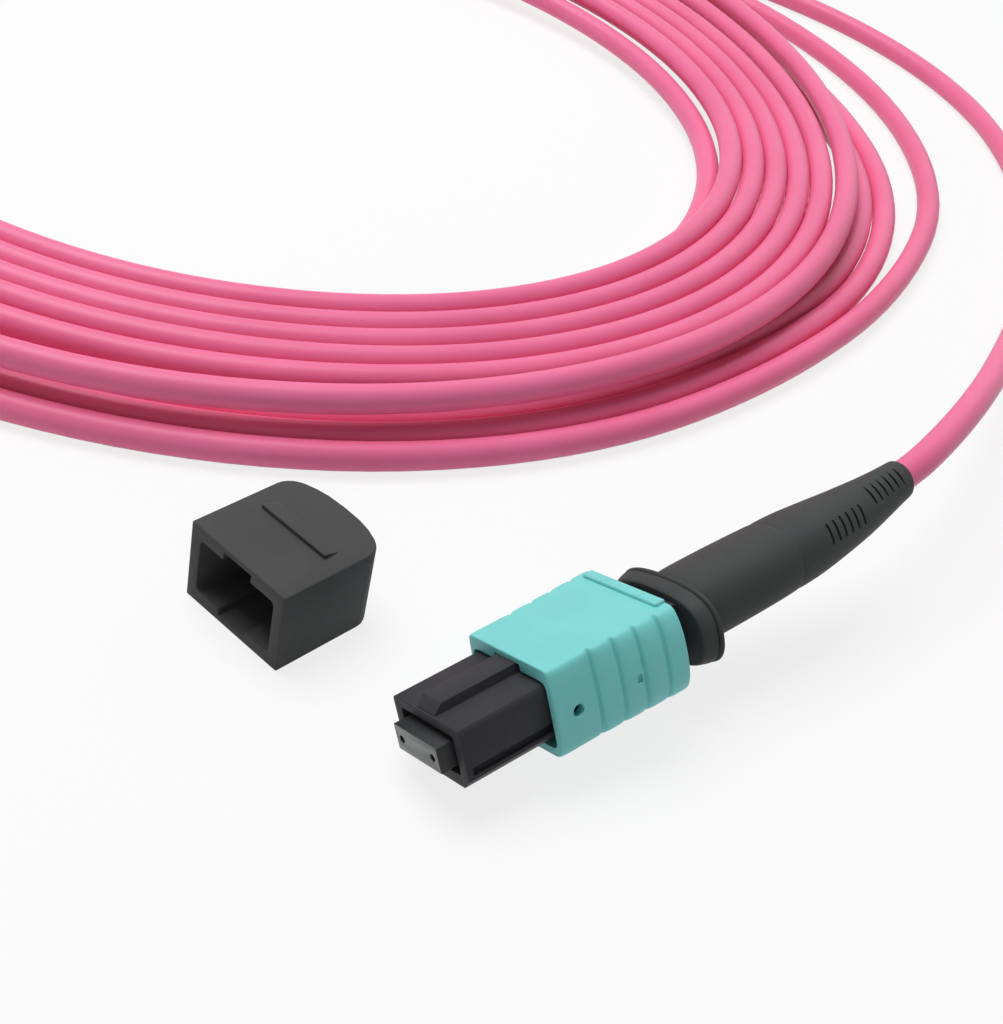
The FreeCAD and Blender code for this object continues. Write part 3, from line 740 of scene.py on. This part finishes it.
# strain relief boot: grooved oval collar, smooth sleeve, then a slotted taper that leans with the cable
boot = {
    # place along the collar and the share of its full size there
    "collar": [(26.3, 0.86), (26.38, 0.895), (26.6, 0.92), (27.5, 0.965), (27.75, 0.97), (27.82, 0.93),
               (27.92, 0.93), (27.98, 0.985), (28.3, 1.0), (28.4, 0.965)],
    "collarHalf": (6.85, 4.05), "collarCorner": 0.87, "collarRight": 0.2, "collarLow": 0.4,
    # place, width, height, and how full the corners are: 0.71 is round
    "sections": [
        (26.9, 7.9, 6.5, 0.80), (28.7, 7.9, 6.5, 0.80), (29.1, 8.1, 6.7, 0.80),
        (29.5, 8.42, 6.9, 0.80), (33.0, 8.4, 6.88, 0.81), (36.0, 8.34, 6.84, 0.81),
        (39.0, 8.22, 6.74, 0.81), (40.75, 8.12, 6.66, 0.80), (40.9, 8.0, 6.55, 0.80),
        (41.1, 8.0, 6.55, 0.80), (41.25, 8.1, 6.65, 0.80), (42.5, 8.02, 6.62, 0.80),
        (44.0, 7.86, 6.56, 0.80), (46.0, 7.46, 6.32, 0.79), (48.0, 6.98, 6.04, 0.78),
        (50.0, 6.46, 5.74, 0.76), (52.0, 5.96, 5.44, 0.75), (54.0, 5.42, 5.06, 0.73),
        (56.0, 4.88, 4.66, 0.72), (58.0, 4.40, 4.28, 0.71), (59.2, 4.18, 4.10, 0.71),
        (59.6, 4.08, 4.0, 0.71),
    ],
    # how far the middle lies to the left, for the bent boot
    "lieA": [
        (26.3, -0.35), (33.0, -0.36), (39.0, -0.39), (46.0, -0.34), (50.0, -0.28),
        (52.0, -0.2), (54.0, -0.08), (56.0, 0.1), (58.0, 0.32), (59.6, 0.5),
    ],
    "lieB": [(26.3, 0.0), (59.6, 0.0)],
    "mouthRadius": 1.66, "mouthDepth": 2.0,
    "slotWidth": 0.3, "slotDepth": 0.3, "slotCutter": 2.0,
    "topSlots": {"first": 52.8, "pitch": 1.0, "count": 6, "half": 1.1, "turn": -44.0},
    "sideSlots": {"first": 45.4, "pitch": 1.0, "count": 6, "half": 1.05, "turn": -68.0},
    "edge": 0.05,
}


def along(table, place):
    for first, last in zip(table, table[1:]):
        if place <= last[0]:
            share = max(0.0, (place - first[0]) / (last[0] - first[0]))
            return [a + share * (b - a) for a, b in zip(first[1:], last[1:])]
    return table[-1][1:]


def ovalTube(name, sections):
    # sections give place, width, height and corner fullness, drawn out to what the smoothing takes away
    piece = beginCube(name, (sections[0][0], -0.5, -0.5), (sections[-1][0], 0.5, 0.5))
    sliceAt(piece, 0, [section[0] for section in sections[1:-1]])
    for axis in (1, 2):
        sliceAt(piece, axis, [0.0])
    openEdit(piece)
    for x, wide, high, full in sections:
        grow = 3 / (2 + full)
        sized(piece, lambda co: isAt(co.x, x) and abs(co.y * co.z) > 0.2, (1, full, full))  # the corners
        sized(piece, lambda co: isAt(co.x, x), (1, wide * grow, high * grow))
    closeEdit()
    return piece


def makeBoot(name, place, pose, lie, node):
    roll = math.radians(pose["roll"])

    def lean(x):
        left = along(lie, x)[0]
        return Vector((0, left * math.cos(roll), -left * math.sin(roll)))

    sections = boot["sections"]
    piece = ovalTube(name, sections)
    openEdit(piece)
    for section in sections:
        shifted(piece, lambda co: isAt(co.x, section[0]), lean(section[0]))
    closeEdit()
    smoothed(piece, 3)
    slots = []
    half = boot["slotWidth"] / 2
    for row in (boot["topSlots"], boot["sideSlots"]):
        turn = math.radians(row["turn"])
        for index in range(row["count"]):
            x = row["first"] + index * row["pitch"]
            wide, high = along(sections, x)[:2]
            floor = math.hypot(high / 2 * math.cos(turn), wide / 2 * math.sin(turn)) - boot["slotDepth"]
            for side in (0, math.pi):
                slot = beginCube("slot", (x - half, -row["half"], floor),
                                 (x + half, row["half"], floor + boot["slotCutter"]))
                openEdit(slot)
                bpy.ops.mesh.select_all(action="SELECT")
                bpy.ops.transform.rotate(value=turn + side, orient_axis="X", center_override=(x, 0, 0))
                bpy.ops.transform.translate(value=lean(x))
                closeEdit()
                slots.append(slot)
    joinMeshes(slots[0], slots[1:])
    cutAway(piece, slots[0])
    end = sections[-1][0]
    deep = end - boot["mouthDepth"]
    outward = lean(end) * 2 - lean(end - clearBy)  # the mouth runs on straight past the end
    cutAway(piece, beginRod("cableMouth", boot["mouthRadius"], Vector((deep, 0, 0)) + lean(deep),
                            Vector((end + clearBy, 0, 0)) + outward))
    softened(piece, boot["edge"], segments=2, angle=40)
    wide, high = (2 * half for half in boot["collarHalf"])
    full = boot["collarCorner"]
    collar = ovalTube("collar", [(x, wide * share, high * share, full) for x, share in boot["collar"]])
    openEdit(collar)
    bpy.ops.mesh.select_all(action="SELECT")
    bpy.ops.transform.translate(value=(0, -boot["collarRight"], -boot["collarLow"]))
    closeEdit()
    smoothed(collar, 3)
    joinMeshes(piece, [collar])
    layDown(piece, place, "cable", node, [finishes["soft_rubber"]])


makeBoot("bendBootA", placeA, connectorA, boot["lieA"], "a_strain_relief")
makeBoot("bendBootB", placeB, connectorB, boot["lieB"], "b_strain_relief")
print("boots made")


# dust cap: bowed back, key channels in its mouth and a finger wedge on top
cap = {
    "size": (11.15, 12.64, 8.75), "backCorner": 1.2, "edge": 0.2, "mouthEdge": 0.08,
    # how far the back bows out, how full the bow is, and the shares of the half width where it is shaped
    "bow": 1.68, "bowPower": 2.6, "bowLines": (-0.75, -0.55, -0.33, 0.0, 0.33, 0.55, 0.75),
    "inside": {"low": (-1.0, -5.0, 1.4), "high": (10.4, 5.0, 7.35), "corner": 0.5},
    "channel": {"low": (-1.0, -1.85, 0.75), "high": (10.4, 1.85, 8.2)},
    "wedge": {"low": (6.3, -4.3, 8.2), "high": (8.3, 4.3, 9.2), "slope": 0.47, "round": 0.1},
    "mouthA": (32.95, -25.35), "yawA": 55.3,
    "mouthB": (9.94, 0.0, -4.55),
}


def makeCap():
    long, wide, high = cap["size"]
    piece = beginCube("dustCapA", (0, -wide / 2, 0), (long, wide / 2, high))
    sliceAt(piece, 1, [wide / 2 * line for line in cap["bowLines"]])
    openEdit(piece)
    for line in cap["bowLines"]:
        out = cap["bow"] * (1 - abs(line) ** cap["bowPower"])
        shifted(piece, lambda co: co.x > long / 2 and isAt(co.y, wide / 2 * line), (out, 0, 0))
    bpy.ops.mesh.select_mode(type="EDGE")
    pickEdges(piece, lambda first, last: first.x > long / 2 and isAt(abs(first.y), wide / 2)
              and abs(first.z - last.z) > 1)
    bpy.ops.mesh.bevel(offset=cap["backCorner"], segments=4, affect="EDGES")
    closeEdit()
    softened(piece, cap["edge"], segments=3, angle=40)
    cleaned(piece)
    cutAway(piece, roundedBlock("inside", cap["inside"], 3))
    cutAway(piece, beginBlock("channel", cap["channel"]))
    softened(piece, cap["mouthEdge"], segments=3, angle=50)
    wedge = beginBlock("wedge", cap["wedge"])
    back, top = cap["wedge"]["high"][0], cap["wedge"]["high"][2]
    openEdit(wedge)
    shifted(wedge, lambda co: isAt(co.x, back) and isAt(co.z, top), (0, 0, -cap["wedge"]["slope"]))
    closeEdit()
    softened(wedge, cap["wedge"]["round"], segments=3, angle=20)
    joinOn(piece, wedge)
    other = copyOf(piece, "dustCapB")
    turnOff = Matrix.Rotation(math.radians(cap["yawA"]), 4, "Z")
    placeOff = Matrix.Translation(Vector((*cap["mouthA"], 0)) * mm) @ turnOff
    turnOn = Matrix.Rotation(math.pi, 4, "Z")
    placeOn = placeB @ Matrix.Translation(Vector(cap["mouthB"]) * mm) @ turnOn
    layDown(piece, placeOff, "cable", "a_dust_cap", [finishes["cap_plastic"]])
    layDown(other, placeOn, "b_cap", "b_dust_cap", [finishes["cap_plastic"]])


makeCap()
print("dust caps made")


# springs: fixed copies of the solids of the ferrule spring and the sleeve springs
springs = {
    "ferrule_spring": {
        "name": "ferruleSpring", "joint": "ferrule_float", "front": 10.4, "rear": 19.8, "travel": 0.8,
    },
    "coupling_springs": {
        "name": "sleeveSprings", "joint": "coupling_slide", "front": 13.9, "rear": 19.0, "travel": 2.0,
    },
}
mergeWithin = 0.000001  # metres


def makeSprings(end):
    for kind, spring in springs.items():
        node = nodes[end + "_" + kind]
        piece = bpy.data.objects.new(spring["name"] + end.upper(), node.data.copy())
        scene.collection.objects.link(piece)
        piece.data.transform(node.matrix_world)
        openEdit(piece)
        bpy.ops.mesh.select_all(action="SELECT")
        bpy.ops.mesh.remove_doubles(threshold=mergeWithin)
        closeEdit()
        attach(piece, "cable")
        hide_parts(end + "_" + kind)
        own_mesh(piece)


makeSprings("a")
makeSprings("b")
print("springs made")


# table and light
room = {
    "tableSize": 6.0,
    "tableDrop": 0.00005,
    "tableColour": (0.86, 0.86, 0.865), "tableRoughness": 0.75, "tableSpecular": 0.2,
    "cloudScale": 30, "cloudShade": 0.985,
    "tableGlow": 0.8,
    "skyLevel": 0.22, "skySeen": 0.84,
    "aim": (0.03, 0.02, 0.0),
    "keyPlace": (-0.195, 0.155, 0.70), "keySize": 0.5, "keyPower": 5.1,
    "fillPlace": (0.45, -0.45, 0.30), "fillSize": 0.5, "fillPower": 0.05,
    "backPlace": (0.25, 0.60, 0.45), "backSize": 0.5, "backPower": 0.4,
}


def aimedPanel(name, place, size, power):
    bpy.ops.object.light_add(type="AREA", location=place)
    lamp = bpy.context.object
    lamp.name = name
    lamp.data.shape = "SQUARE"
    lamp.data.size = size
    lamp.data.energy = power
    aim = Vector(room["aim"]) - Vector(place)
    lamp.rotation_euler = aim.to_track_quat("-Z", "Y").to_euler()


def seenDirectly(tree):
    # 1 for rays from the camera, from a reflection and through glass
    path = addNode(tree, "ShaderNodeLightPath")
    seen = addNode(tree, "ShaderNodeMath", operation="ADD")
    tree.links.new(path.outputs["Is Camera Ray"], seen.inputs[0])
    tree.links.new(path.outputs["Is Glossy Ray"], seen.inputs[1])
    clear = addNode(tree, "ShaderNodeMath", operation="ADD", use_clamp=True)
    tree.links.new(seen.outputs[0], clear.inputs[0])
    tree.links.new(path.outputs["Is Transmission Ray"], clear.inputs[1])
    return clear.outputs[0]


def makeRoom():
    bpy.ops.mesh.primitive_plane_add(size=room["tableSize"], location=(0, 0, -room["tableDrop"]))
    table = bpy.context.object
    table.name = "paleTable"
    finish, tree, shader = newFinish("paleTableTop")
    coords = addNode(tree, "ShaderNodeTexCoord").outputs["Object"]
    cloud = noiseOn(tree, coords, room["cloudScale"], detail=2)
    low = [value * room["cloudShade"] for value in room["tableColour"]]
    tree.links.new(rampBetween(tree, cloud, low, room["tableColour"]), shader.inputs["Base Color"])
    setInputs(shader, Roughness=room["tableRoughness"], Specular_IOR_Level=room["tableSpecular"])
    share = addNode(tree, "ShaderNodeMath", operation="MULTIPLY")
    share.inputs[1].default_value = room["tableGlow"]
    tree.links.new(seenDirectly(tree), share.inputs[0])
    glow = addNode(tree, "ShaderNodeEmission")
    setInputs(glow, Color=(1, 1, 1, 1), Strength=1.0)
    blend = addNode(tree, "ShaderNodeMixShader")
    tree.links.new(share.outputs[0], blend.inputs[0])
    tree.links.new(shader.outputs[0], blend.inputs[1])
    tree.links.new(glow.outputs[0], blend.inputs[2])
    tree.links.new(blend.outputs[0], tree.nodes["Material Output"].inputs["Surface"])
    table.data.materials.append(finish)
    for name in ("key", "fill", "back"):
        aimedPanel(name + "Panel", room[name + "Place"], room[name + "Size"], room[name + "Power"])
    world = bpy.data.worlds.new("paleRoom")
    scene.world = world
    world.use_nodes = True
    tree = world.node_tree
    sky = tree.nodes["Background"]
    setInputs(sky, Color=(1, 1, 1, 1))
    level = addNode(tree, "ShaderNodeMapRange")
    setInputs(level, To_Min=room["skyLevel"], To_Max=room["skySeen"])
    tree.links.new(seenDirectly(tree), level.inputs["Value"])
    tree.links.new(level.outputs["Result"], sky.inputs["Strength"])
    scene.view_settings.view_transform = "Standard"


makeRoom()
print("table and light set")
